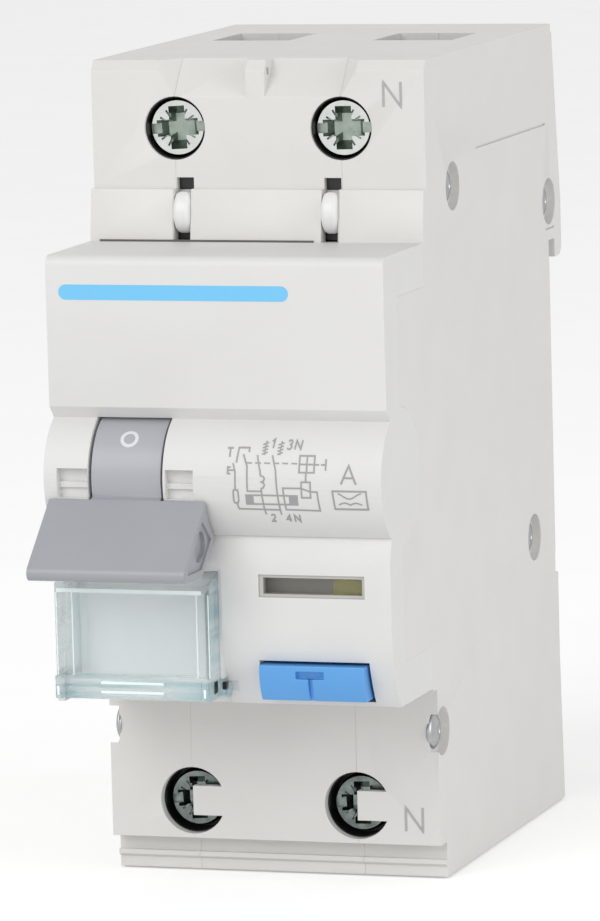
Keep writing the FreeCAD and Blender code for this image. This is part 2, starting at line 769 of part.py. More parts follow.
def make_fixed_contact(pole):
    """Fixed contact strip, which carries on the upper terminal bar down to the contact rivet."""
    centre = POLES[pole] * d.seam_offset
    body = new_body(f"{pole}_fixed_contact")
    strip = rectangle((centre - 2.2, -d.bar_front), (centre + 2.2, -d.bar_front + d.bar_thick))
    level_pad(body, -12.6, 19.5, strip)
    tip = rectangle((centre - 1.6, -11.2), (centre + 1.6, -8.0))
    front_pad(body, d.bar_front + 0.8, d.bar_front - 0.2, tip)
    return body


def make_arc_chute(pole):
    """Row of steel splitter plates between two fibre side rails."""
    centre = POLES[pole] * d.seam_offset
    body = new_body(f"{pole}_arc_chute")
    pitch = 1.9
    level_pad(body, -23.0, -16.5, rectangle((centre - 4.4, -21.0), (centre + 4.4, -20.1)))
    plate = body.Tip
    pattern = body.newObject("PartDesign::LinearPattern", f"{body.Name}_pattern")
    pattern.Originals = [plate]
    pattern.Direction = (next(i for i in body.Origin.OriginFeatures if i.Role == "Y_Axis"), [""])
    pattern.Length = pitch * 5
    pattern.Occurrences = 6
    body.Tip = pattern
    level_pad(body, -24.0, -23.0, rectangle((centre - 4.4, -21.0), (centre + 4.4, -10.4)))
    return body


def make_magnetic_trip():
    """Coil on its tube, steel yoke round it, and the plunger inside."""
    centre = -d.seam_offset
    axis = (centre, 17.6)
    coil = new_body("magnetic_coil")
    front_pad(coil, 41.6, 30.4, polygon(axis, 2.4, 8), circles=[(axis, 4.4)])
    yoke = new_body("coil_yoke")
    frame = [
        (-42.9, 12.4),
        (-42.9, d.rib_high),
        (-29.1, d.rib_high),
        (-29.1, 12.4),
        (-30.4, 12.4),
        (-30.4, 22.3),
        (-41.6, 22.3),
        (-41.6, 12.4),
    ]
    side_pad(yoke, centre - 4.0, centre + 4.0, frame)
    front_cut(yoke, 43.0, 41.0, circles=[(axis, 1.9)])
    plunger = new_body("coil_plunger")
    front_pad(plunger, 44.5, 31.0, circles=[(axis, 1.9)])


def make_sensor():
    """Sum current transformer: a ring core and the winding round most of it."""
    centre = (-12.0, 12.5)
    core = new_body("toroid_core")
    side_pad(core, 4.2, 9.8, polygon(centre, 7.2, RING_SIDES), polygon(centre, 5.0, RING_SIDES))
    winding = new_body("toroid_winding")
    for low, high in ((3.4, 4.2), (9.8, 10.6)):
        side_pad(winding, low, high, polygon(centre, 8.0, RING_SIDES), polygon(centre, 4.2, RING_SIDES))
        if low < 4:
            side_pad(winding, 4.2, 10.6, polygon(centre, 8.0, RING_SIDES), polygon(centre, 7.2, RING_SIDES))
            side_pad(winding, 4.2, 10.6, polygon(centre, 5.0, RING_SIDES), polygon(centre, 4.2, RING_SIDES))
    return core, winding


def make_label_pieces():
    make_block("label_card", (-16.0, -58.8, -20.4), (-1.4, -58.4, -10.0))
    make_block("indicator_flag", (11.2, -59.2, -12.3), (16.0, -58.4, -8.9))
    window = new_body("indicator_window")
    front_pad(window, 59.9, 59.3, rectangle((3.2, -13.2), (16.2, -8.0)))
    front_pad(window, 61.0, 59.9, rectangle((4.0, -11.65), (14.95, -9.55)))
    rails = [rectangle((3.2, low), (16.2, low + 0.7)) for low in (-13.2, -8.7)]
    front_pad(window, 59.3, 58.0, *rails)


def make_electronics():
    make_block("bimetal_strip", (-11.4, -41.0, -24.0), (-6.4, -40.2, -1.0))
    make_block("trip_relay", (3.0, -43.4, 12.0), (13.6, -30.0, d.rib_high))
    make_block("circuit_board", (14.6, -43.6, -24.0), (15.8, -11.6, 1.6))
    make_block("test_contact_blade", (4.4, -53.4, -19.6), (5.2, -47.4, -18.8))
    resistor = new_body("test_resistor")
    level_pad(resistor, -20.0, -12.0, circles=[((13.2, -38.0), 1.4)])
    spring = new_body("test_button_spring")
    front_pad(spring, 53.6, 47.4, circles=[((9.4, -20.7), 1.4)])


def make_clip():
    """Rail clip that slides in the back of the middle housing, with its catch under the rail."""
    body = new_body("din_clip")
    outline = [
        (-2.6, -42.6),
        (0.9, -42.6),
        (0.9, -19.4),
        (1.3, -19.4),
        (1.8, -21.5),
        (3.6, -19.6),
        (3.6, -18.6),
        (1.3, -16.4),
        (1.3, -18.3),
        (-2.6, -18.3),
    ]
    side_pad(body, -4.6, 4.6, outline)
    front_cut(body, 3.0, -2.0, rectangle((-1.3, -38.0), (1.3, -26.0)))
    spring = new_body("din_clip_spring")
    level_pad(spring, -36.8, -26.0, circles=[((0, -1.2), 1.1)])


def make_inserts():
    for pole, side in POLES.items():
        centre = side * (d.seam_offset + 7.0 - 0.1) / 2
        body = new_body(f"{pole}_slot_insert")
        low, high = d.band_low + 0.5, d.band_top - 0.3
        wheel = [(-44.8, low), (-44.8, high), (-46.4, high, 2.3, 1), (-46.4, low)]
        side_pad(body, centre - 0.88, centre + 0.88, wheel)


def make_rivets():
    """Four rivets that hold the housing together, with a head in each countersunk end."""
    inner = half_width - d.sink_depth
    for name, centre in RIVETS.items():
        body = new_body(name)
        side_pad(body, -inner, inner, polygon(centre, d.shank_radius, SHANK_SIDES))
        side_pad(body, -inner - d.rivet_proud, -inner, circles=[(centre, d.rivet_head)])
        side_pad(body, inner, inner + d.rivet_proud, circles=[(centre, d.rivet_head)])


make_shell("left_shell", -1)
make_shell("right_shell", 1)
make_middle_housing()
make_front_cover()
make_rivets()
make_handle()
make_rod("handle_pin", -14.4, -3.8, (-d.barrel_depth, 0), d.pin_radius)
make_rod("contact_pin", -17.1, 17.1, ARM_PIVOT, d.pin_radius)
make_label_flap()
make_test_button()
make_label_pieces()
for pole_name in POLES:
    for level_name in LEVELS:
        make_terminal(pole_name, level_name)
    make_contact_arm(pole_name)
    make_fixed_contact(pole_name)
    make_arc_chute(pole_name)
make_magnetic_trip()
make_sensor()
make_electronics()
make_clip()
make_inserts()
doc.recompute()

failed = [item.Name for item in doc.Objects if {"Invalid", "Error"} & set(item.State)]
bodies = [item for item in doc.Objects if item.isDerivedFrom("PartDesign::Body")]
failed += [item.Label for item in bodies if item.Shape.isNull() or not item.Shape.isValid()]
if failed:
    raise RuntimeError(f"failed objects: {failed}")

os.makedirs("parts", exist_ok=True)
for item in bodies:
    item.Shape.exportStep(f"parts/{item.Label}.step")
    print(f"{item.Label}: {item.Shape.Volume:.1f} mm3, {len(item.Shape.Solids)} solid")
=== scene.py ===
"""Dressed model of a two-module residual current device on a pale floor."""
import math

import bmesh
import bpy
from mathutils import Matrix, Vector


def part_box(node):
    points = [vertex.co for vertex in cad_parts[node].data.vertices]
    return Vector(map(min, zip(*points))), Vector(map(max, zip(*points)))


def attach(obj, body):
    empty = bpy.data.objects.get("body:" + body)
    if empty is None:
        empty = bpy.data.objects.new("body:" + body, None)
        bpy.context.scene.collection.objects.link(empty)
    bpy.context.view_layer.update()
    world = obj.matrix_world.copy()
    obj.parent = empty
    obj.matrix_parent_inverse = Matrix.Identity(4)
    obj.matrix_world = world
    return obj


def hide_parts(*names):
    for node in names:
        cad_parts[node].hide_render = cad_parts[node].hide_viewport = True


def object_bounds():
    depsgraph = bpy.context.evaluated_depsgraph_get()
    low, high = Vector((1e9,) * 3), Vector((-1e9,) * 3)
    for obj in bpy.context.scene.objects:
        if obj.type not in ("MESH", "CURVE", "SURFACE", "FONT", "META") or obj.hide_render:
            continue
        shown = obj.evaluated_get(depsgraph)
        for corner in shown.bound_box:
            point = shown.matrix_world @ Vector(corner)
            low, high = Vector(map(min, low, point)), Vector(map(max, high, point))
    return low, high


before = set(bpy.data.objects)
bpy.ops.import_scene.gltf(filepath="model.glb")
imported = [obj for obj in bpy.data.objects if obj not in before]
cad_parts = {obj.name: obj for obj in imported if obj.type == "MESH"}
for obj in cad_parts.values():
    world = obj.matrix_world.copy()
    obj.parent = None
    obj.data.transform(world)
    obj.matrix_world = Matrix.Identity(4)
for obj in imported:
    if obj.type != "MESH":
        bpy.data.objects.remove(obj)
cad_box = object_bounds()
MM = 0.001

# ---------------------------------------------------------------- places of the solids, in mm
SEAM = 8.9
NOSE = 61.4
BARREL_DEPTH = 57.0
BARREL_RADIUS = 6.8
SHOULDER = 45.7
LOW_SHOULDER = 45.9
DRUM_RADIUS = 6.5
FLAP_FRONT = -64.1
BAR_FRONT = -64.6
FLAP_BAND_TOP = -19.7
SLOT_MIDDLE = 7.9
INK_LIFT = 0.03
INK_ROOT = -0.02
LINE = 0.16


def node_box(node):
    """A node's corners in millimetres."""
    low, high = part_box(node)
    return [value / MM for value in low], [value / MM for value in high]


def in_metres(*values):
    return tuple(value * MM for value in values)


# ---------------------------------------------------------------- materials
def colour(code):
    """A linear colour from the six digits in which paint is usually named."""
    parts = [int(code[place:place + 2], 16) / 255 for place in (0, 2, 4)]
    linear = [part / 12.92 if part <= 0.04045 else ((part + 0.055) / 1.055) ** 2.4 for part in parts]
    return (*linear, 1.0)


class Wire:
    """A shader socket that takes part in sums, so that a pattern reads as a formula."""

    def __init__(self, tree, socket):
        self.tree = tree
        self.socket = socket

    def _sum(self, operation, first, second):
        return self.tree.node("ShaderNodeMath", {0: first, 1: second}, operation=operation)

    def __add__(self, other):
        return self._sum("ADD", self, other)

    def __sub__(self, other):
        return self._sum("SUBTRACT", self, other)

    def __rsub__(self, other):
        return self._sum("SUBTRACT", other, self)

    def __mul__(self, other):
        return self._sum("MULTIPLY", self, other)

    __radd__ = __add__
    __rmul__ = __mul__


class NodeTree:
    """A node tree under construction: one method adds every node."""

    def __init__(self, tree):
        self.tree = tree
        tree.nodes.clear()

    def node(self, kind, sockets=None, output=0, **settings):
        """Add a node, apply its settings, then give its sockets their values or links."""
        made = self.tree.nodes.new(kind)
        for key, value in settings.items():
            setattr(made, key, value)
        for key, value in (sockets or {}).items():
            if isinstance(value, Wire):
                self.tree.links.new(value.socket, made.inputs[key])
            else:
                made.inputs[key].default_value = value
        return Wire(self, made.outputs[output])

    def seen_directly(self):
        """One for what is seen straight, in a reflection or through clear plastic."""
        rays = self.node("ShaderNodeLightPath").socket.node.outputs
        straight = Wire(self, rays["Is Camera Ray"]) + Wire(self, rays["Is Glossy Ray"])
        return straight + Wire(self, rays["Is Transmission Ray"])


class Finish(NodeTree):
    """A material under construction, with patterns on the piece's own coordinates."""

    def __init__(self, name):
        self.material = bpy.data.materials.new(name)
        self.material.use_nodes = True
        super().__init__(self.material.node_tree)
        self.output = self.tree.nodes.new("ShaderNodeOutputMaterial")

    def place(self):
        return self.node("ShaderNodeTexCoord", output="Object")

    def stretched(self, scale):
        return self.node("ShaderNodeMapping", {"Vector": self.place(), "Scale": scale})

    def noise(self, scale, detail, vector=None):
        sockets = {"Vector": vector or self.place(), "Scale": scale, "Detail": detail}
        return self.node("ShaderNodeTexNoise", sockets, "Fac")

    def tint(self, mask, first, second):
        """The first colour where the mask is 0 and the second where it is 1."""
        sockets = {"Factor": mask, 6: first, 7: second}
        return self.node("ShaderNodeMix", sockets, 2, data_type="RGBA")

    def bump(self, height, strength, distance):
        sockets = {"Height": height, "Strength": strength, "Distance": distance}
        return self.node("ShaderNodeBump", sockets)

    def surface(self, sockets):
        shader = self.node("ShaderNodeBsdfPrincipled", sockets)
        self.tree.links.new(shader.socket, self.output.inputs["Surface"])
        return self.material


def moulded_plastic(name, tone, worn, roughness=0.42, grain=5200.0, coat=0.0):
    """Moulded plastic: cloudy tone, spark-eroded grain and a roughness that wanders a little."""
    finish = Finish(name)
    cloud = finish.noise(160.0, 4.0)
    flow = finish.noise(34.0, 2.0)
    speck = finish.noise(grain, 2.0)
    mask = cloud * 0.6 + flow * 0.4
    return finish.surface({
        "Base Color": finish.tint(mask, colour(tone), colour(worn)),
        "Roughness": cloud * 0.10 + speck * 0.06 + (roughness - 0.08),
        "Coat Weight": coat,
        "Coat Roughness": 0.25,
        "IOR": 1.48,
        "Normal": finish.bump(speck, 0.35, 0.02 * MM),
    })


def plated_metal(name, tone, dull, roughness=0.24):
    """Zinc or nickel plate: cloudy film over fine draw marks."""
    finish = Finish(name)
    film = finish.noise(900.0, 3.0)
    marks = finish.noise(2600.0, 2.0)
    return finish.surface({
        "Base Color": finish.tint(film, colour(tone), colour(dull)),
        "Metallic": 1.0,
        "Roughness": film * 0.16 + marks * 0.10 + (roughness - 0.13),
        "Normal": finish.bump(marks, 0.25, 0.02 * MM),
    })


def clear_plastic(name, tone, deep, alpha, roughness=0.04):
    """Clear moulded plastic, with a tone that deepens in faint flow clouds."""
    finish = Finish(name)
    cloud = finish.noise(120.0, 2.0)
    ripple = finish.noise(420.0, 2.0)
    return finish.surface({
        "Base Color": finish.tint(cloud, colour(tone), colour(deep)),
        "Roughness": cloud * 0.03 + roughness,
        "Transmission Weight": 0.96,
        "IOR": 1.46,
        "Alpha": alpha,
        "Normal": finish.bump(ripple, 0.12, 0.06 * MM),
    })


def glass_with_highlight_streaks(name, tone, deep, stretch, alpha):
    """Clear plastic seen through its edge: light streaks, which are painted highlights, and deep teal
    streaks of the thick plastic, that run along the bar.
    """
    finish = Finish(name)
    streak = finish.noise(1.0, 1.0, finish.stretched(stretch))
    contrast = finish.node("ShaderNodeMapRange", {
        "Value": streak, "From Min": 0.38, "From Max": 0.62, "To Min": 0.0, "To Max": 1.0})
    return finish.surface({
        "Base Color": finish.tint(contrast, colour(tone), colour(deep)),
        "Roughness": streak * 0.05 + 0.05,
        "Transmission Weight": 0.6,
        "IOR": 1.46,
        "Alpha": alpha,
        "Coat Weight": 0.6,
        "Normal": finish.bump(streak, 0.12, 0.2 * MM),
    })


def painted_highlight_glow(name, tone, deep, glow):
    """Painted highlight on a clear moulding: a pale colour that also glows a little, where its edges
    would catch the light.
    """
    finish = Finish(name)
    cloud = finish.noise(600.0, 2.0)
    tint = finish.tint(cloud, colour(tone), colour(deep))
    return finish.surface({
        "Base Color": tint,
        "Roughness": cloud * 0.06 + 0.2,
        "Coat Weight": 0.5,
        "Emission Color": tint,
        "Emission Strength": glow,
    })


def printed_ink(name, tone, thin):
    """Pad-printed ink with small weak spots."""
    finish = Finish(name)
    patch = finish.noise(3200.0, 3.0)
    return finish.surface({
        "Base Color": finish.tint(patch, colour(tone), colour(thin)),
        "Roughness": patch * 0.15 + 0.45,
    })


HOUSING = moulded_plastic("housing_plastic", "E3E2DF", "DBD9D6")
COVER = moulded_plastic("cover_plastic", "E5E5E4", "DDDCDA", 0.48)
GREY = moulded_plastic("handle_plastic", "A9AAB0", "9FA0A7", 0.36)
# a lighter copy of the handle's plastic for its drum: painted light
DRUM_LIT_GREY = moulded_plastic("drum_plastic", "B3B4BA", "ABACB2", 0.36)
BLUE = moulded_plastic("button_plastic", "62A9E8", "559DE2", 0.34, coat=0.2)
WHITE = moulded_plastic("insert_plastic", "F2F2F0", "E6E6E4", 0.34)
CARD = moulded_plastic("label_card", "F1F3F3", "E8EBEC", 0.55, grain=2600.0)
DARK = moulded_plastic("dark_plastic", "2B2B2D", "222224", 0.5)
BOARD = moulded_plastic("board_laminate", "2C5B3C", "244D32", 0.45)
CLEAR = clear_plastic("flap_plastic", "FAFDFD", "F4FAFB", 0.3)
# the light streaks on the flap's side bars and band are painted highlights; the deep ones are the teal
# of the thick plastic
CLEAR_SIDE = glass_with_highlight_streaks("flap_side_plastic", "FDFFFF", "A3D1D8", (1900.0, 60.0, 24.0), 0.65)
CLEAR_BAND = glass_with_highlight_streaks("flap_band_plastic", "FBFFFF", "A0CED6", (60.0, 60.0, 1500.0), 0.7)
# painted highlights: pale, faintly glowing lines on the flap's edges, bars and ears
FLAP_HIGHLIGHT = painted_highlight_glow("flap_ground_edge", "F4FAFA", "DCEBED", 0.14)
PANE = clear_plastic("window_plastic", "F0F0EE", "E8E8E4", 0.5, 0.06)
# painted shade for the gap under the band
SHADE = moulded_plastic("gap_plastic", "6E6C68", "5F5D5A", 0.5)
# near-black plastic for the screw wells, the slot bottoms and the flap's ear: painted shade
SHADE_BLACK = moulded_plastic("well_plastic", "1B1B1C", "141415", 0.35)
PLATE = plated_metal("screw_plate", "D9DAD8", "B9BCBA")
# darker plate inside the screws' crosses and slots: painted shade
RECESS_SHADE = plated_metal("recess_plate", "AEB8AF", "707A72", 0.3)
# dark copies of the plate for the lower screws, which sit deeper in shade: painted shade
SHADED_PLATE = plated_metal("deep_plate", "97A19E", "303332", 0.26)
SHADED_RECESS = plated_metal("deep_recess_plate", "A9B4B1", "1F2120", 0.22)
STEEL = plated_metal("bright_steel", "B7B8BA", "96989A", 0.3)
COPPER = plated_metal("bare_copper", "C98A63", "B5734E", 0.3)
PALE_INK = printed_ink("pale_ink", "A9A9AA", "B4B4B5")
DARK_INK = printed_ink("dark_ink", "9A9A9C", "A6A6A8")
STRIPE_INK = printed_ink("stripe_ink", "70C6F4", "7BCBF5")
MARK_INK = printed_ink("handle_ink", "E6E7EC", "DADBE2")
FLAG = moulded_plastic("flag_plastic", "B3AE6C", "9E9850", 0.45)
RIM = moulded_plastic("window_rim_plastic", "C9C8C3", "B5B3AC", 0.3, coat=0.3)
# darker than the housing plastic: painted shade of the cavity behind the window
WINDOW_BED_SHADE = moulded_plastic("window_bed_plastic", "BBB8B0", "97938B", 0.5, grain=700.0)


# ---------------------------------------------------------------- mesh tools
def built_mesh(name, build):
    """A mesh from a builder that works in millimetres."""
    mesh = bpy.data.meshes.new(name)
    bm = bmesh.new()
    build(bm)
    bmesh.ops.scale(bm, vec=(MM, MM, MM), verts=bm.verts)
    bm.to_mesh(mesh)
    bm.free()
    return mesh


def new_object(name, mesh):
    made = bpy.data.objects.new(name, mesh)
    bpy.context.collection.objects.link(made)
    return made


def settle(piece, material, body, nodes):
    """Give a piece its material, its body and the CAD nodes that it stands for."""
    piece.data.materials.clear()
    piece.data.materials.append(material)
    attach(piece, body)
    for node in nodes:
        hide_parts(node)
    return piece


def new_piece(name, build, material, body, nodes=()):
    """A piece from a mesh builder."""
    return settle(new_object(name, built_mesh(name, build)), material, body, nodes)


def bake_modifiers(piece):
    """Turn the evaluated mesh into the piece's own plain mesh."""
    graph = bpy.context.evaluated_depsgraph_get()
    mesh = bpy.data.meshes.new_from_object(piece.evaluated_get(graph))
    piece.modifiers.clear()
    piece.data = mesh


def finish_node(node, material):
    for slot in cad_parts[node].material_slots:
        slot.material = material


def shade_smooth(piece):
    mesh = piece.data
    mesh.polygons.foreach_set("use_smooth", [True] * len(mesh.polygons))
    mesh.set_sharp_from_angle(angle=math.radians(30.0))


def add_cuts(piece, cutters):
    """Modifiers that take the cutters away from a piece."""
    for cutter in cutters:
        cut = piece.modifiers.new("cut", "BOOLEAN")
        cut.operation = "DIFFERENCE"
        cut.solver = "EXACT"
        cut.object = cutter


def add_roll(piece, width, segments):
    """A modifier that rolls the hard edges over."""
    roll = piece.modifiers.new("roll", "BEVEL")
    roll.width = width * MM
    roll.segments = segments
    roll.limit_method = "ANGLE"
    roll.angle_limit = math.radians(32.0)
    roll.use_clamp_overlap = True
    roll.harden_normals = True


def drop_cutters(cutters):
    for cutter in cutters:
        bpy.data.objects.remove(cutter)


def softened(node, material, width, body="housing", cutters=()):
    """A copy of a CAD node with its hard edges rolled over by a small bevel."""
    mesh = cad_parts[node].data.copy()
    mesh.name = f"soft_{node}"
    piece = new_object(f"soft_{node}", mesh)
    bm = bmesh.new()
    bm.from_mesh(mesh)
    bmesh.ops.remove_doubles(bm, verts=bm.verts, dist=0.002 * MM)
    bmesh.ops.dissolve_limit(bm, angle_limit=math.radians(0.6), verts=bm.verts, edges=bm.edges)
    bm.to_mesh(mesh)
    bm.free()
    add_cuts(piece, cutters)
    shade_smooth(piece)
    add_roll(piece, width, 2)
    bake_modifiers(piece)
    drop_cutters(cutters)
    return settle(piece, material, body, (node,))


def carve(piece, cutters, width):
    """Take the cutters away from a piece, then roll its hard edges over."""
    add_cuts(piece, cutters)
    bake_modifiers(piece)
    drop_cutters(cutters)
    shade_smooth(piece)
    add_roll(piece, width, 3)
    bake_modifiers(piece)


def lay_block(bm, low, high):
    """A closed block between two corners."""
    made = bmesh.ops.create_cube(bm, size=1.0)["verts"]
    bmesh.ops.scale(bm, vec=[b - a for a, b in zip(low, high)], verts=made)
    bmesh.ops.translate(bm, vec=[(a + b) / 2 for a, b in zip(low, high)], verts=made)


def lay_prism(bm, near, far):
    """A closed solid between two outlines with matching corners; the near one faces its viewer."""
    near, far = ([bm.verts.new(corner) for corner in outline] for outline in (near, far))
    bm.faces.new(near)
    bm.faces.new(reversed(far))
    for place in range(len(near)):
        after = (place + 1) % len(near)
        bm.faces.new((near[after], near[place], far[place], far[after]))


def circle_points(centre, radius, count=40):
    turn = math.tau / count
    return [(centre[0] + radius * math.cos(turn * place), centre[1] + radius * math.sin(turn * place))
            for place in range(count)]


def lay_across(bm, left, right, side):
    """A closed solid with the same side view from one distance across the device to another."""
    lay_prism(bm, [(right, y, z) for y, z in side], [(left, y, z) for y, z in side])


def new_cutter(build):
    """A solid to take away from a piece."""
    return new_object("cutter", built_mesh("cutter", build))


# ---------------------------------------------------------------- surfaces that carry print
def nose_face(x, z, lift):
    return (x, -NOSE - lift, z)


def shoulder_face(x, z, lift):
    return (x, -SHOULDER - lift, z)


def low_shoulder_face(x, z, lift):
    return (x, -LOW_SHOULDER - lift, z)


def barrel_face(x, z, lift):
    """The rounded middle of the cover; z is measured as seen from the front."""
    angle = math.asin(z / BARREL_RADIUS)
    radius = BARREL_RADIUS + lift
    return (x, -BARREL_DEPTH - radius * math.cos(angle), radius * math.sin(angle))


def drum_face(x, along, lift):
    """The handle's drum; along is measured over the curve from the foremost line."""
    angle = along / DRUM_RADIUS
    radius = DRUM_RADIUS + lift
    return (x, -BARREL_DEPTH - radius * math.cos(angle), radius * math.sin(angle))


def divided(points, step=0.35):
    """The same line with no stretch longer than the step."""
    result = [points[0]]
    for start, end in zip(points, points[1:]):
        count = max(1, math.ceil(math.dist(start, end) / step))
        for place in range(1, count + 1):
            share = place / count
            result.append(tuple(a + (b - a) * share for a, b in zip(start, end)))
    return result


def lay_stroke(bm, face, points, width, closed=False):
    """A printed line: a thin closed strip that follows the carrying surface."""
    line = divided(list(points) + ([points[0]] if closed else []))
    if closed:
        line.pop()
    count = len(line)
    rings = []
    for place in range(count):
        before = line[(place - 1) % count] if closed or place else line[place]
        after = line[(place + 1) % count] if closed or place < count - 1 else line[place]
        here = line[place]
        first = Vector((here[0] - before[0], here[1] - before[1]))
        second = Vector((after[0] - here[0], after[1] - here[1]))
        along = (first.normalized() if first.length else Vector((0, 0)))
        along = along + (second.normalized() if second.length else Vector((0, 0)))
        along = along.normalized() if along.length > 0.05 else (first or second).normalized()
        bend = max(0.5, along.dot(second.normalized() if second.length else along))
        side = Vector((-along.y, along.x)) * (width / 2 / bend)
        ring = []
        for sign, lift in ((1, INK_LIFT), (-1, INK_LIFT), (-1, INK_ROOT), (1, INK_ROOT)):
            ring.append(bm.verts.new(face(here[0] + side.x * sign, here[1] + side.y * sign, lift)))
        rings.append(ring)
    pairs = list(zip(rings, rings[1:])) + ([(rings[-1], rings[0])] if closed else [])
    for near, far in pairs:
        for corner in range(4):
            after = (corner + 1) % 4
            bm.faces.new((near[corner], near[after], far[after], far[corner]))
    if not closed:
        bm.faces.new(reversed(rings[0]))
        bm.faces.new(rings[-1])


def lay_patch(bm, face, low, high):
    """A printed block, divided so that it follows the surface."""
    middle = (low[1] + high[1]) / 2
    lay_stroke(bm, face, [(low[0], middle), (high[0], middle)], high[1] - low[1])


GLYPHS = {
    "N": [[(0, 0), (0, 1), (0.72, 0), (0.72, 1)]],
    "T": [[(0, 1), (0.7, 1)], [(0.35, 1), (0.35, 0)]],
    "A": [[(0, 0), (0.42, 1), (0.84, 0)], [(0.16, 0.34), (0.68, 0.34)]],
    "1": [[(0.05, 0.72), (0.32, 1), (0.32, 0)]],
    "2": [[(0.05, 0.78), (0.14, 0.95), (0.32, 1), (0.5, 0.92), (0.55, 0.72), (0.46, 0.5), (0.03, 0),
           (0.58, 0)]],
    "3": [[(0.04, 0.86), (0.2, 1), (0.42, 0.97), (0.52, 0.78), (0.42, 0.58), (0.25, 0.54)],
          [(0.25, 0.54), (0.47, 0.46), (0.56, 0.26), (0.44, 0.05), (0.2, 0), (0.02, 0.14)]],
    "4": [[(0.46, 0), (0.46, 1), (0, 0.32), (0.62, 0.32)]],
}


def lay_letter(bm, face, letter, corner, height, width, slant=0.0):
    """One stroke-drawn letter with its lower left corner at the given place."""
    for line in GLYPHS[letter]:
        points = [(corner[0] + (u + v * slant) * height, corner[1] + v * height) for u, v in line]
        lay_stroke(bm, face, points, width)


# ---------------------------------------------------------------- repeated forms
class Pattern(NodeTree):
    """A Geometry Nodes tree with named sizes."""

    def __init__(self, name, **sizes):
        super().__init__(bpy.data.node_groups.new(name, "GeometryNodeTree"))
        kinds = {float: "NodeSocketFloat", int: "NodeSocketInt", tuple: "NodeSocketVector",
                 "material": "NodeSocketMaterial"}
        self.identifiers = {}
        interface = self.tree.interface
        interface.new_socket("Geometry", in_out="OUTPUT", socket_type="NodeSocketGeometry")
        for size, kind in {**sizes, "finish": "material"}.items():
            socket = interface.new_socket(size, in_out="INPUT", socket_type=kinds[kind])
            self.identifiers[size] = socket.identifier
        self.entry = self.tree.nodes.new("NodeGroupInput")
        self.exit = self.tree.nodes.new("NodeGroupOutput")

    def size(self, name):
        return Wire(self, self.entry.outputs[name])

    def joined(self, *shapes):
        join = self.tree.nodes.new("GeometryNodeJoinGeometry")
        for shape in shapes:
            self.tree.links.new(shape.socket, join.inputs[0])
        return Wire(self, join.outputs[0])

    def boolean(self, operation, first, *others):
        made = self.tree.nodes.new("GeometryNodeMeshBoolean")
        made.operation = operation
        made.solver = "EXACT"
        if operation == "DIFFERENCE":
            self.tree.links.new(first.socket, made.inputs[0])
        else:
            others = (first, *others)
        for other in others:
            self.tree.links.new(other.socket, made.inputs[1])
        return Wire(self, made.outputs[0])

    def moved(self, shape, place=(0, 0, 0), turn=(0, 0, 0), scale=(1, 1, 1)):
        sockets = {"Geometry": shape, "Translation": place, "Rotation": turn, "Scale": scale}
        return self.node("GeometryNodeTransform", sockets)

    def vector(self, x, y, z):
        return self.node("ShaderNodeCombineXYZ", {0: x, 1: y, 2: z})

    def cube(self, x, y, z):
        return self.node("GeometryNodeMeshCube", {"Size": self.vector(x, y, z)}, "Mesh")

    def cylinder(self, sides, radius, depth):
        sockets = {"Vertices": sides, "Radius": radius, "Depth": depth}
        return self.node("GeometryNodeMeshCylinder", sockets, "Mesh")

    def cone(self, sides, top, bottom, depth):
        sockets = {"Vertices": sides, "Radius Top": top, "Radius Bottom": bottom, "Depth": depth}
        return self.node("GeometryNodeMeshCone", sockets, "Mesh")

    def ball(self, segments):
        sockets = {"Segments": segments, "Rings": segments // 2, "Radius": 1.0}
        return self.node("GeometryNodeMeshUVSphere", sockets, "Mesh")

    def ring(self, corners, radius):
        sockets = {"Resolution": corners, "Radius": radius}
        return self.node("GeometryNodeCurvePrimitiveCircle", sockets)

    def close(self, shape):
        """Realize the instances and give the whole its material."""
        real = self.node("GeometryNodeRealizeInstances", {"Geometry": shape})
        sockets = {"Geometry": real, "Material": self.size("finish")}
        painted = self.node("GeometryNodeSetMaterial", sockets)
        self.tree.links.new(painted.socket, self.exit.inputs[0])
        return self


QUARTER_TURN = (math.radians(90), 0.0, 0.0)
PITCH = 0.7 * MM


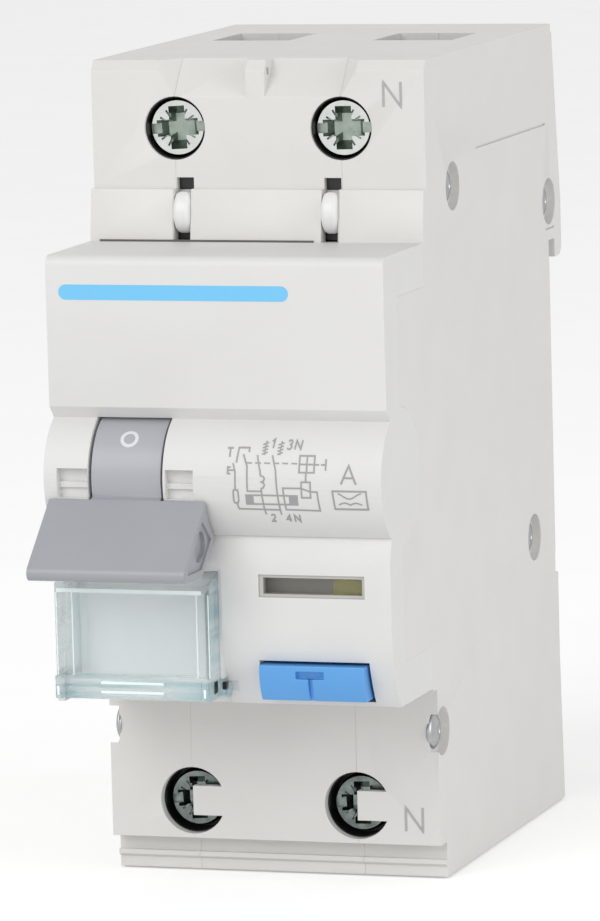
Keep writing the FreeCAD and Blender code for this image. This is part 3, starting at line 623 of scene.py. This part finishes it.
def screw_pattern():
    """Plated screw: crowned head with a cross recess and a slot, and a ridged shank."""
    p = Pattern("cross_slot_screw", head_radius=float, head_height=float, shank_radius=float,
                shank_length=float, blade=float, slot=float, place=tuple, spin=float)
    head, height = p.size("head_radius"), p.size("head_height")
    shank, length = p.size("shank_radius"), p.size("shank_length")
    blade, slot = p.size("blade"), p.size("slot")
    wall = p.moved(p.cylinder(56, head, height * 0.72), p.vector(0.0, 0.0, height * -0.64))
    crown = p.cone(56, head * 0.92, head, height * 0.28)
    crown = p.moved(crown, p.vector(0.0, 0.0, height * -0.28))
    body = p.boolean("UNION", wall, crown)
    # the recess: a tapered cross, a slot and four thin ticks between the arms
    arm = p.cone(4, head * 1.03, head * 0.5, height * 1.1)
    arm = p.moved(arm, p.vector(0.0, 0.0, height * -0.62), (0.0, 0.0, math.radians(45)))
    level = p.moved(arm, scale=p.vector(1.3, blade, 1.0))
    upright = p.moved(arm, scale=p.vector(blade, 1.3, 1.0))
    thin = p.cube(head * 1.42, head * 0.07, height * 0.4)
    ticks = [p.moved(thin, turn=(0.0, 0.0, math.radians(angle))) for angle in (32, 58, -32, -58)]
    groove = p.cube(head * 2.2, slot, height * 0.5)
    body = p.boolean("DIFFERENCE", body, p.boolean("UNION", level, upright, groove, *ticks))
    # the shank: a rod with a ridge for every turn of its thread
    root = shank * 0.86
    rod = p.moved(p.cylinder(24, root, length), p.vector(0.0, 0.0, height * -1.0 + length * -0.5))
    flank = p.moved(p.cone(24, root, shank, 0.4 * MM), (0, 0, 0.2 * MM))
    back = p.moved(p.cone(24, shank, root, 0.3 * MM), (0, 0, -0.15 * MM))
    ridge = p.joined(flank, back)
    count = p.node("ShaderNodeMath", {0: length * (1 / PITCH)}, operation="FLOOR")
    line = p.node("GeometryNodeMeshLine", {"Count": count, "Offset": (0.0, 0.0, -PITCH)})
    line = p.moved(line, p.vector(0.0, 0.0, height * -1.0 - 0.5 * MM))
    ridges = p.node("GeometryNodeInstanceOnPoints", {"Points": line, "Instance": ridge})
    whole = p.joined(body, rod, ridges)
    whole = p.moved(whole, turn=p.vector(0.0, 0.0, p.size("spin")))
    return p.close(p.moved(whole, p.size("place"), QUARTER_TURN))


RIVET_PLACES = {"first": "rivet_upper_front", "second": "rivet_upper_rear",
                "third": "rivet_lower_front", "fourth": "rivet_lower_rear"}


def rivet_pattern():
    """Rivet ends: a polished dome with a small centre dimple at both sides of every point."""
    p = Pattern("rivet_domes", radius=float, rise=float, half_width=float,
                first=tuple, second=tuple, third=tuple, fourth=tuple)
    radius, rise = p.size("radius"), p.size("rise")
    dome = p.moved(p.ball(40), scale=p.vector(radius, radius, rise))
    dimple = p.vector(radius * 0.32, radius * 0.32, rise * 0.5)
    bead = p.moved(p.ball(24), p.vector(0.0, 0.0, rise * 1.1), scale=dimple)
    end = p.boolean("DIFFERENCE", dome, bead)
    right = p.moved(end, p.vector(p.size("half_width"), 0.0, 0.0), (0.0, math.radians(90), 0.0))
    left = p.moved(end, p.vector(p.size("half_width") * -1.0, 0.0, 0.0), (0.0, math.radians(-90), 0.0))
    pair = p.joined(right, left)
    return p.close(p.joined(*[p.moved(pair, p.size(name)) for name in RIVET_PLACES]))


def well_shade_pattern():
    """Painted shade in the screw wells behind the front wall: a dark tube with a floor at every point.
    """
    p = Pattern("screw_wells", outer=float, inner=float, length=float, left=tuple, right=tuple)
    length = p.size("length")
    tube = p.moved(p.cylinder(48, p.size("outer"), length), p.vector(0.0, 0.0, length * -0.5))
    hole = p.cylinder(48, p.size("inner"), length)
    hole = p.moved(hole, p.vector(0.0, 0.0, length * -0.5 + 0.05 * MM))
    turned = p.moved(p.boolean("DIFFERENCE", tube, hole), turn=QUARTER_TURN)
    return p.close(p.joined(p.moved(turned, p.size("left")), p.moved(turned, p.size("right"))))


def winding_pattern():
    """Enamelled wire laid round a ring core, turn by turn; the ring's axis runs across the device."""
    p = Pattern("ring_winding", ring=float, radial=float, axial=float, wire=float, turns=int,
                place=tuple)
    sockets = {"Curve": p.ring(64, p.size("ring")), "Count": p.size("turns")}
    points = p.node("GeometryNodeCurveToPoints", sockets, mode="COUNT")
    rotation = Wire(p, points.socket.node.outputs["Rotation"])
    sockets = {"Width": p.size("radial"), "Height": p.size("axial")}
    loop = p.node("GeometryNodeCurvePrimitiveQuadrilateral", sockets)
    sockets = {"Curve": loop, "Profile Curve": p.ring(6, p.size("wire"))}
    turn = p.node("GeometryNodeCurveToMesh", sockets)
    sockets = {"Points": points, "Instance": turn, "Rotation": rotation}
    laid = p.node("GeometryNodeInstanceOnPoints", sockets)
    return p.close(p.moved(laid, p.size("place"), (0.0, math.radians(90), 0.0)))


def coil_pattern():
    """Round copper wire in a close helix."""
    p = Pattern("trip_coil", radius=float, wire=float, length=float, turns=float, place=tuple)
    helix = p.node("GeometryNodeCurveSpiral", {
        "Resolution": 24, "Rotations": p.size("turns"), "Start Radius": p.size("radius"),
        "End Radius": p.size("radius"), "Height": p.size("length")})
    sockets = {"Curve": helix, "Profile Curve": p.ring(8, p.size("wire")), "Fill Caps": True}
    swept = p.node("GeometryNodeCurveToMesh", sockets)
    return p.close(p.moved(swept, p.size("place"), QUARTER_TURN))


def grown(name, pattern, sizes, material, body, nodes=()):
    """Run a pattern with these sizes and keep its result as the piece's own mesh."""
    piece = new_object(name, bpy.data.meshes.new(name))
    modifier = piece.modifiers.new("pattern", "NODES")
    modifier.node_group = pattern.tree
    for size, value in {**sizes, "finish": material}.items():
        modifier[pattern.identifiers[size]] = value
    bake_modifiers(piece)
    bm = bmesh.new()
    bm.from_mesh(piece.data)
    bmesh.ops.remove_doubles(bm, verts=bm.verts, dist=0.0005 * MM)
    bmesh.ops.recalc_face_normals(bm, faces=bm.faces)
    for face in bm.faces:
        face.material_index = 0
    bm.to_mesh(piece.data)
    bm.free()
    shade_smooth(piece)
    return settle(piece, material, body, nodes)


# ---------------------------------------------------------------- housing, cover and controls
softened("left_shell", HOUSING, 0.3)
softened("middle_housing", HOUSING, 0.2)
softened("right_shell", HOUSING, 0.3)
softened("front_cover", COVER, 0.3)
flap = softened("label_flap", CLEAR, 0.16, "flap")
flap.data.materials.append(CLEAR_SIDE)
flap.data.materials.append(CLEAR_BAND)
# the band and the side bars get the materials with painted highlight streaks
for face in flap.data.polygons:
    middle = face.center / MM
    if middle.z < FLAP_BAND_TOP + 0.1:
        face.material_index = 2
    elif middle.x < -15.9 or middle.x > -1.4:
        face.material_index = 1
softened("indicator_window", PANE, 0.08)
softened("indicator_flag", FLAG, 0.05, "indicator")
softened("line_slot_insert", WHITE, 0.5)
softened("neutral_slot_insert", WHITE, 0.5)


def cut_grip_end(bm):
    """The round seat in the right end of the handle's grip."""
    lay_across(bm, -1.35, 0.2, circle_points((-64.9, -6.0), 1.35, 48))


def draw_end_floor(bm):
    """Floor of the round seat in the end of the grip."""
    lay_across(bm, -3.55, -1.35, circle_points((-65.6, -6.3), 1.395, 48))


grip_cutters = (new_cutter(cut_grip_end),)
handle = softened("handle", GREY, 0.35, "handle", grip_cutters)
handle.data.materials.append(DRUM_LIT_GREY)
# the drum's faces get the lighter copy of the handle's plastic: painted light
for face in handle.data.polygons:
    if math.hypot(face.center.y / MM + BARREL_DEPTH, face.center.z / MM) < DRUM_RADIUS + 0.2:
        face.material_index = 1
new_piece("handle_end_floor", draw_end_floor, GREY, "handle")


def lay_leaning_block(bm, low, high):
    """A block that leans backwards as the sloped front of the test button does."""
    lay_block(bm, low, high)
    for vert in bm.verts:
        vert.co.y += 0.25 * (high[2] - vert.co.z)


def cut_letter_bar(bm):
    """The bar of the test button's sunken T."""
    lay_leaning_block(bm, (7.7, -63.0, -19.95), (10.65, -61.35, -19.2))


def cut_letter_stem(bm):
    """The stem of the test button's sunken T."""
    lay_leaning_block(bm, (9.0, -63.0, -24.0), (9.4, -61.45, -19.6))


def draw_button(bm):
    """The test button's solid: a gently rounded front on a stepped block."""
    front, top, foot = -61.85, -18.62, -22.28
    side = [(-61.0, foot), (-55.0, foot), (-55.0, -19.12), (-58.2, -19.12), (-58.2, top), (front, top)]
    steps = 10
    for step in range(1, steps):
        share = step / steps
        bulge = 0.3 * (1 - (2 * share - 1) ** 2)
        side.append((front + 0.85 * share - bulge * 0.95, top - 3.66 * share - bulge * 0.2))
    lay_across(bm, 3.87, 14.93, side)
    bmesh.ops.recalc_face_normals(bm, faces=bm.faces)


button = new_piece("button_cap", draw_button, BLUE, "test_button", ("test_button",))
carve(button, (new_cutter(cut_letter_bar), new_cutter(cut_letter_stem)), 0.25)

# ---------------------------------------------------------------- screws, rivets and windings
HEAD_RADIUS = 3.02
HEAD_LENGTH = 2.2


def paint_recess_shade(piece, middle, front, metal):
    """Give the darker plate, which is painted shade, to the faces that look into the cross and the
    slot of a screw head.
    """
    piece.data.materials.append(metal)
    for face in piece.data.polygons:
        spot = face.center / MM
        depth = spot.y - front
        across = Vector((spot.x - middle[0], 0.0, spot.z - middle[2]))
        inward = across.length < 0.01 or face.normal.dot(across.normalized()) < 0.15
        if 0.05 < depth < HEAD_LENGTH - 0.1 and across.length < HEAD_RADIUS * 0.99 and inward:
            face.material_index = 1


SCREWS = screw_pattern()
for level in ("upper", "lower"):
    for pole, spin in (("line", 0.06), ("neutral", 0.02)):
        node = f"{level}_{pole}_screw"
        low, high = node_box(node)
        middle = [(a + b) / 2 for a, b in zip(low, high)]
        sizes = {
            "head_radius": HEAD_RADIUS * MM, "head_height": HEAD_LENGTH * MM,
            "shank_radius": 2.0 * MM, "shank_length": (high[1] - low[1] - HEAD_LENGTH) * MM,
            "blade": 0.5, "slot": 1.05 * MM, "spin": spin,
            "place": in_metres(middle[0], low[1], middle[2]),
        }
        # the lower screws get the dark copies of the plate: painted shade
        plate, recess = (PLATE, RECESS_SHADE) if level == "upper" else (SHADED_PLATE, SHADED_RECESS)
        piece = grown(f"{node}_turned", SCREWS, sizes, plate, node, (node,))
        paint_recess_shade(piece, middle, low[1], recess)

places = {}
for name, node in RIVET_PLACES.items():
    low, high = node_box(node)
    places[name] = in_metres(0.0, (low[1] + high[1]) / 2, (low[2] + high[2]) / 2)
sizes = {"radius": 1.9 * MM, "rise": 0.6 * MM, "half_width": 16.76 * MM, **places}
rivet_nodes = tuple(RIVET_PLACES.values())
grown("rivet_ends", rivet_pattern(), sizes, STEEL, "housing", rivet_nodes)

sizes = {"ring": 6.1 * MM, "radial": 3.1 * MM, "axial": 6.5 * MM, "wire": 0.27 * MM, "turns": 44,
         "place": in_metres(7.0, -12.0, 12.5)}
grown("sensor_winding", winding_pattern(), sizes, COPPER, "housing", ("toroid_winding",))
sizes = {"radius": 4.08 * MM, "wire": 0.3 * MM, "length": 10.5 * MM, "turns": 17.0,
         "place": in_metres(-SEAM, -30.75, 17.6)}
grown("trip_coil_wire", coil_pattern(), sizes, COPPER, "housing", ("magnetic_coil",))

# dark tubes in the screw wells: painted shade
WELL_SHADE = well_shade_pattern()
for name, radius, mouth, floor, height in (
    ("upper_well_shade", 3.25, SHOULDER - 0.35, SHOULDER - 3.2, 34.05),
    ("lower_well_shade", 3.5, LOW_SHOULDER - 1.05, LOW_SHOULDER - 4.0, -35.8),
):
    sizes = {"outer": (radius - 0.01) * MM, "inner": (radius - 0.12) * MM,
             "length": (mouth - floor) * MM,
             "left": in_metres(-SEAM, -mouth, height), "right": in_metres(SEAM, -mouth, height)}
    grown(name, WELL_SHADE, sizes, SHADE_BLACK, "housing")

for node, material in {
    "handle_pin": STEEL, "contact_pin": STEEL, "test_button_spring": STEEL,
    "test_contact_blade": COPPER, "test_resistor": CARD, "din_clip": STEEL,
    "din_clip_spring": STEEL, "coil_yoke": STEEL, "coil_plunger": STEEL,
    "bimetal_strip": COPPER, "toroid_core": DARK, "trip_relay": DARK,
    "circuit_board": BOARD,
}.items():
    finish_node(node, material)
for level in ("upper", "lower"):
    for pole in ("line", "neutral"):
        finish_node(f"{level}_{pole}_cage", PLATE)
        finish_node(f"{level}_{pole}_bar", COPPER)
for pole in ("line", "neutral"):
    finish_node(f"{pole}_contact_arm", COPPER)
    finish_node(f"{pole}_fixed_contact", COPPER)
    finish_node(f"{pole}_arc_chute", STEEL)


# ---------------------------------------------------------------- printed legends
def draw_stripe(bm):
    """The coloured bar with round ends across the cover."""
    low, high = (-16.45, 18.15), (7.85, 19.7)
    radius = (high[1] - low[1]) / 2
    middle = (high[1] + low[1]) / 2
    outline = []
    for centre, start in ((high[0] - radius, -90), (low[0] + radius, 90)):
        for step in range(0, 181, 15):
            angle = math.radians(start + step)
            outline.append((centre + radius * math.cos(angle), middle + radius * math.sin(angle)))
    lay_prism(bm, [nose_face(x, z, INK_LIFT) for x, z in outline],
              [nose_face(x, z, INK_ROOT) for x, z in outline])


def draw_circuit(bm):
    """The switching diagram on the rounded middle: two poles, trip, sensor and test circuit."""

    def line(*points, width=LINE, closed=False):
        lay_stroke(bm, barrel_face, points, width, closed)

    # test push-button and its resistor
    lay_letter(bm, barrel_face, "T", (1.58, 2.7), 0.85, LINE)
    line((2.63, 2.17), (2.77, 3.6), (3.86, 3.6), (3.88, 3.2))
    line((2.28, 2.1), (2.53, 1.25), (2.53, -0.48))
    line((1.75, 1.0), (1.75, 1.8))
    line((1.75, 1.72), (2.05, 1.72))
    line((1.75, 1.08), (2.05, 1.08))
    line((1.75, 1.42), (2.4, 1.42))
    line((2.35, -0.55), (2.75, -0.55), (2.82, -0.8), (2.82, -1.65), (2.72, -1.88), (2.38, -1.88),
         (2.3, -1.65), (2.3, -0.8), closed=True)
    line((2.6, -1.88), (2.77, -2.5), (7.0, -2.55))
    line((3.3, 2.98), (3.77, 1.83), (3.8, -0.65), (5.24, -0.65))
    # the two poles with their blades
    line((4.77, 2.92), (5.18, 1.25), (5.2, 0.9))
    line((5.2, 0.9), (5.5, 0.85), (5.62, 0.62), (5.5, 0.38), (5.25, 0.3), (5.5, 0.22), (5.62, 0.0),
         (5.5, -0.26), (5.25, -0.36))
    line((5.25, -0.36), (5.41, -2.43), (5.53, -3.06))
    line((6.35, 2.92), (6.77, 1.48), (7.0, -1.86), (7.12, -3.06))
    for x in (5.3, 6.9):
        line((x + 0.2, 2.95), (x + 0.25, 4.25), width=0.12)
        for step in range(4):
            z = 3.0 + step * 0.3
            line((x - 0.08, z), (x + 0.5, z + 0.2), width=0.12)
    # linkage, latch and relay
    for start in (3.65, 4.6, 5.55, 6.5, 7.45, 8.4):
        line((start, 2.17), (start + 0.6, 2.15), width=0.14)
    line((9.24, 2.92), (10.8, 2.92), (10.8, 1.3), (9.24, 1.3), closed=True)
    line((9.24, 2.1), (10.8, 2.1))
    line((10.02, 2.92), (10.02, 1.3))
    line((10.9, 2.08), (11.3, 2.08))
    line((11.5, 2.08), (11.9, 2.08))
    line((12.0, 1.54), (12.0, 2.63))
    line((9.96, 1.3), (9.94, 0.35))
    line((9.47, 0.35), (10.4, 0.35), (10.4, -1.22), (9.47, -1.22), closed=True)
    line((9.47, -0.3), (10.4, -0.6))
    line((9.47, -0.28), (7.53, -0.28), (7.7, -2.5), (11.25, -2.57), (11.1, -0.62), (10.4, -0.6))
    # sum current transformer
    lay_patch(bm, barrel_face, (3.55, -2.05), (4.4, -0.98))
    lay_patch(bm, barrel_face, (8.1, -2.05), (9.05, -0.98))
    line((4.4, -1.05), (8.1, -1.05))
    line((4.4, -1.97), (8.1, -1.97))
    # terminal numbers
    lay_letter(bm, barrel_face, "1", (6.05, 3.6), 0.85, 0.15, 0.1)
    lay_letter(bm, barrel_face, "3", (7.75, 3.5), 0.85, 0.15, 0.1)
    lay_letter(bm, barrel_face, "N", (8.6, 3.5), 0.85, 0.15, 0.1)
    lay_letter(bm, barrel_face, "2", (6.0, -3.8), 0.75, 0.16)
    lay_letter(bm, barrel_face, "4", (7.6, -3.8), 0.75, 0.16)
    lay_letter(bm, barrel_face, "N", (8.45, -3.8), 0.75, 0.16)
    # type letter and pulse symbol
    lay_letter(bm, barrel_face, "A", (13.62, 0.2), 1.85, 0.19)
    line((12.7, -0.5), (16.2, -0.5), (16.3, -2.35), (12.85, -2.35), closed=True, width=0.18)
    wave = [(13.25 + step * 0.2, -1.0 - 0.28 * math.sin(step * 0.48 - 1.2)) for step in range(13)]
    line(*wave, width=0.14)
    wave = [(13.3 + step * 0.2, -1.8 + 0.2 * abs(math.sin(step * 0.53)) - 0.1) for step in range(13)]
    line(*wave, width=0.14)


def draw_window_rim(bm):
    """The light edge that the window shows all round."""
    low, high = (3.92, -11.73), (15.03, -9.47)
    front, back, wide = -61.15, -60.2, 0.3
    lay_block(bm, (low[0], front, low[1]), (high[0], back, low[1] + wide))
    lay_block(bm, (low[0], front, high[1] - wide), (high[0], back, high[1]))
    lay_block(bm, (low[0], front, low[1] + wide), (low[0] + wide * 1.4, back, high[1] - wide))
    lay_block(bm, (high[0] - wide, front, low[1] + wide), (high[0], back, high[1] - wide))


def draw_window_bed(bm):
    """The bed behind the window, on which the flag moves: three shallow steps, darker than the housing
    as painted shade.
    """
    lay_block(bm, (3.3, -58.3, -12.9), (16.1, -58.0, -8.3))
    for low in (5.2, 7.6, 10.0):
        lay_block(bm, (low, -58.36, -12.9), (low + 1.2, -58.25, -8.3))


def draw_pole_letters(bm):
    lay_letter(bm, shoulder_face, "N", (13.5, 36.25), 2.55, 0.27)
    lay_letter(bm, low_shoulder_face, "N", (14.1, -38.3), 2.5, 0.27)


def draw_off_mark(bm):
    """The ring that marks the handle's OFF position."""
    height = DRUM_RADIUS * math.asin(4.5 / DRUM_RADIUS) - 0.45
    lay_stroke(bm, drum_face, circle_points((-9.1, height), 0.78), 0.36, closed=True)


def draw_label(bm):
    """The blank label, with its corners clipped as those of a cut card are."""
    low, high = node_box("label_card")
    left, right, floor, top = low[0] - 0.35, high[0] + 0.3, low[2] - 0.28, high[2] + 0.28
    clip = 0.3
    outline = [(left + clip, floor), (right - clip, floor), (right, floor + clip), (right, top - clip),
               (right - clip, top), (left + clip, top), (left, top - clip), (left, floor + clip)]
    lay_prism(bm, [(x, low[1], z) for x, z in outline], [(x, high[1], z) for x, z in outline])


def draw_ear_shade(bm):
    """Painted shade in the pocket of the flap's right ear and on its hinge pin."""
    lay_block(bm, (-0.9, -63.1, -21.5), (-0.55, -61.7, -20.3))
    lay_block(bm, (-0.25, -61.2, -21.3), (0.15, -60.4, -20.55))


def draw_flap_highlights(bm):
    """Painted highlights on the clear flap: along its top, beside its window, on bars and ears."""
    front, back = FLAP_FRONT - 0.04, FLAP_FRONT + 0.1
    lay_block(bm, (-16.7, front, -11.25), (-1.3, back, -10.85))
    for left in (-16.8, -15.12, -1.87, -0.62):
        lay_block(bm, (left, front, FLAP_BAND_TOP), (left + 0.09, back, -11.25))
    front, back = BAR_FRONT - 0.03, BAR_FRONT + 0.1
    for top in (-20.2, -21.15):
        lay_block(bm, (-12.0, front, top - 0.26), (-5.35, back, top))
    for left in (-16.72, -1.1):
        lay_block(bm, (left, front, -21.7), (left + 0.22, back, -20.8))


def draw_bed_lip(bm):
    """Lip of the label's bed, close to the flap's right cheek and to its top."""
    lay_block(bm, (-0.41, -61.2, -20.2), (-0.08, -58.3, -9.0))
    lay_block(bm, (-16.9, -61.2, -9.26), (-0.41, -58.3, -9.0))


def draw_slot_shade(bm):
    """Painted shade: dark blocks at the bottom of the two slots in the band, above and below the
    inserts.
    """
    for centre in (-SLOT_MIDDLE, SLOT_MIDDLE):
        left, right = centre - 0.89, centre + 0.89
        lay_block(bm, (left, -44.9, 27.75), (right, -43.7, 28.95))
        lay_block(bm, (left, -45.6, 22.65), (right, -43.7, 23.28))


def draw_band_shadow(bm):
    """Painted shade: a dark strip in the gap between the band and the cover."""
    lay_block(bm, (-16.75, -47.48, 22.4), (6.25, -47.3, 22.78))


for name, draw, material, body, slot, nodes in (
    ("flap_painted_highlights", draw_flap_highlights, FLAP_HIGHLIGHT, "flap", "clear_plastic", ()),
    ("bed_lip", draw_bed_lip, COVER, "housing", "cover_plastic", ()),
    ("label_blank", draw_label, CARD, "housing", "label_board", ("label_card",)),
    ("ear_painted_shade", draw_ear_shade, SHADE_BLACK, "flap", "clear_plastic", ()),
    ("slot_painted_shade", draw_slot_shade, SHADE_BLACK, "housing", "dark_plastic", ()),
    ("band_shadow", draw_band_shadow, SHADE, "housing", "dark_plastic", ()),
    ("window_rim", draw_window_rim, RIM, "housing", "window_plastic", ()),
    ("window_bed", draw_window_bed, WINDOW_BED_SHADE, "housing", "dark_plastic", ()),
    ("cover_stripe", draw_stripe, STRIPE_INK, "housing", "cover_plastic", ()),
    ("circuit_print", draw_circuit, DARK_INK, "housing", "cover_plastic", ()),
    ("pole_letters", draw_pole_letters, PALE_INK, "housing", "housing_plastic", ()),
    ("off_mark", draw_off_mark, MARK_INK, "handle", "handle_plastic", ()),
):
    new_piece(name, draw, material, body, nodes)


# ---------------------------------------------------------------- floor, light and camera
CAMERA_PLACE = (0.2170, -0.71201, 0.09558)
CAMERA_TURN = (17.757, 7.784, 1.5025)
CAMERA_LENS = 269.5


def set_floor():
    """Pale floor with a soft shadow, which looks white where it is seen straight."""
    bpy.ops.mesh.primitive_plane_add(size=6.0, location=(0.0, 0.0, cad_box[0].z - 0.2 * MM))
    floor = bpy.context.active_object
    floor.name = "floor"
    finish = Finish("floor_paper")
    fleck = finish.noise(60.0, 2.0)
    tone = finish.tint(fleck, colour("F4F4F4"), colour("EFEFEF"))
    paper = finish.node("ShaderNodeBsdfDiffuse", {"Color": tone})
    glow = finish.node("ShaderNodeEmission", {"Color": (1, 1, 1, 1), "Strength": 0.33})
    lit = finish.node("ShaderNodeAddShader", {0: paper, 1: glow})
    mixed = finish.node("ShaderNodeMixShader", {0: finish.seen_directly(), 1: paper, 2: lit})
    finish.tree.links.new(mixed.socket, finish.output.inputs["Surface"])
    floor.data.materials.append(finish.material)


def set_world():
    """White to the eye, plain light to the object."""
    world = bpy.data.worlds.new("studio")
    bpy.context.scene.world = world
    world.use_nodes = True
    sky = NodeTree(world.node_tree)
    soft = sky.node("ShaderNodeBackground", {"Color": (1, 1, 1, 1), "Strength": 0.58})
    white = sky.node("ShaderNodeBackground", {"Color": (0.95, 0.95, 0.95, 1), "Strength": 1.0})
    mixed = sky.node("ShaderNodeMixShader", {0: sky.seen_directly(), 1: soft, 2: white})
    output = sky.tree.nodes.new("ShaderNodeOutputWorld")
    sky.tree.links.new(mixed.socket, output.inputs["Surface"])


def add_lamp(name, place, watts, size):
    """A soft square lamp that points at the middle of the object."""
    data = bpy.data.lights.new(name, "AREA")
    data.energy = watts
    data.size = size
    lamp = bpy.data.objects.new(name, data)
    lamp.location = place
    lamp.rotation_euler = (-Vector(place)).to_track_quat("-Z", "Y").to_euler()
    bpy.context.collection.objects.link(lamp)


def add_camera():
    """A long lens, to the right of the object and a little above it, with a slight roll."""
    yaw, pitch, roll = (math.radians(angle) for angle in CAMERA_TURN)
    back = Vector((math.sin(yaw) * math.cos(pitch), -math.cos(yaw) * math.cos(pitch), math.sin(pitch)))
    right = Vector((math.cos(yaw), math.sin(yaw), 0.0))
    up = back.cross(right)
    side = right * math.cos(roll) - up * math.sin(roll)
    top = right * math.sin(roll) + up * math.cos(roll)
    data = bpy.data.cameras.new("camera")
    data.lens = CAMERA_LENS
    data.sensor_width = 36.0
    data.clip_start = 0.01
    camera = bpy.data.objects.new("camera", data)
    turn = Matrix((side, top, back)).transposed().to_4x4()
    camera.matrix_world = Matrix.Translation(CAMERA_PLACE) @ turn
    bpy.context.collection.objects.link(camera)
    bpy.context.scene.camera = camera


set_floor()
set_world()
add_lamp("key_lamp", (-0.25, -0.75, 0.45), 2.45, 0.5)
add_lamp("fill_lamp", (0.75, -0.25, 0.15), 1.8, 0.5)
add_lamp("low_lamp", (0.1, -0.8, 0.02), 0.4, 0.4)
add_camera()
bpy.context.scene.view_settings.view_transform = "Standard"
